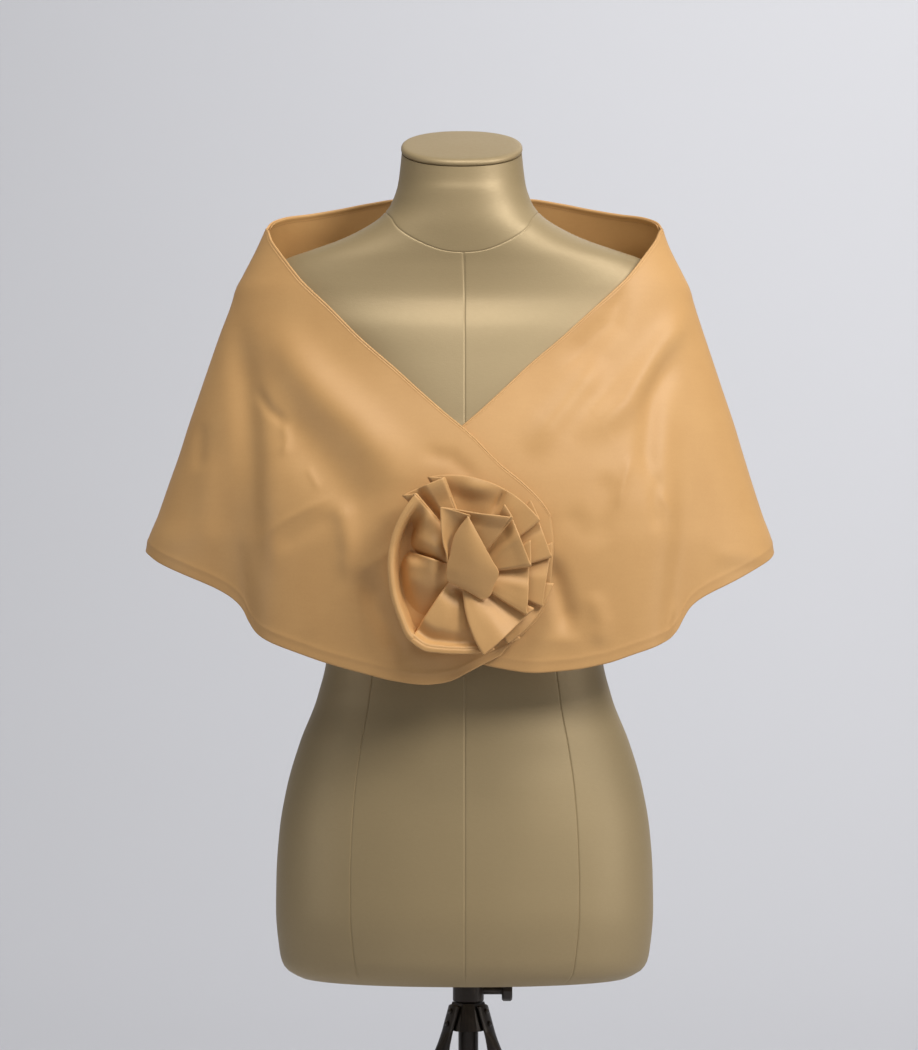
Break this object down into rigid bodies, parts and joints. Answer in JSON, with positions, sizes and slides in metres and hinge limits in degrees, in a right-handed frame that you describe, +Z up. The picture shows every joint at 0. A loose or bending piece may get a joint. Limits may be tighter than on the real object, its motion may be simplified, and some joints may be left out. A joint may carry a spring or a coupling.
{
  "type": "shawl on a dress form",
  "caption": "Stiff satin off-the-shoulder shawl, crossed in front under a pleated rosette, worn by a limbless dress form on a height-adjustable tripod stand.",
  "frame": {"origin": "on the floor, below the middle of the whole thing's footprint", "axes": "+Z up along the stand's pole, -Y towards the front where the rosette is, +X towards the wearer's left"},
  "size_m": [0.5646, 0.39, 1.425],
  "materials": {
    "satin": "stiff tan duchess satin with a soft low sheen",
    "form_cover": "satin khaki-gold leatherette, fine grain",
    "dark_metal": "satin very dark brown",
    "foot_rubber": "matt black rubber"
  },
  "bodies": {
    "tripod": {"stand_collar": "dark_metal", "leg_socket": "dark_metal", "leg_right": "dark_metal", "leg_left": "dark_metal", "leg_back": "dark_metal", "leg_right_rivet_1": "dark_metal", "leg_right_rivet_2": "dark_metal", "leg_left_rivet_1": "dark_metal", "leg_left_rivet_2": "dark_metal", "leg_back_rivet_1": "dark_metal", "leg_back_rivet_2": "dark_metal", "foot_right": "foot_rubber", "foot_left": "foot_rubber", "foot_back": "foot_rubber"},
    "dressed_form": {"stand_pole": "dark_metal", "form_torso": "form_cover", "neck_cap": "form_cover", "shawl_right_front": "satin", "shawl_left_front": "satin", "shawl_back": "satin", "back_facing": "satin", "rosette_outer": "satin", "rosette_inner": "satin", "rosette_centre": "satin"},
    "knob": {"clamp_knob": "dark_metal"}
  },
  "joints": [
    {"name": "height_slide", "type": "slide", "parent": "tripod", "child": "dressed_form", "axis": [0, 0, 1], "range_m": [0, 0.2]},
    {"name": "knob_turn", "type": "hinge", "parent": "tripod", "child": "knob", "pos_m": [0.0377, -0.0297, 0.6465], "axis": [1, 0, 0], "range_deg": [0, 360]}
  ]
}
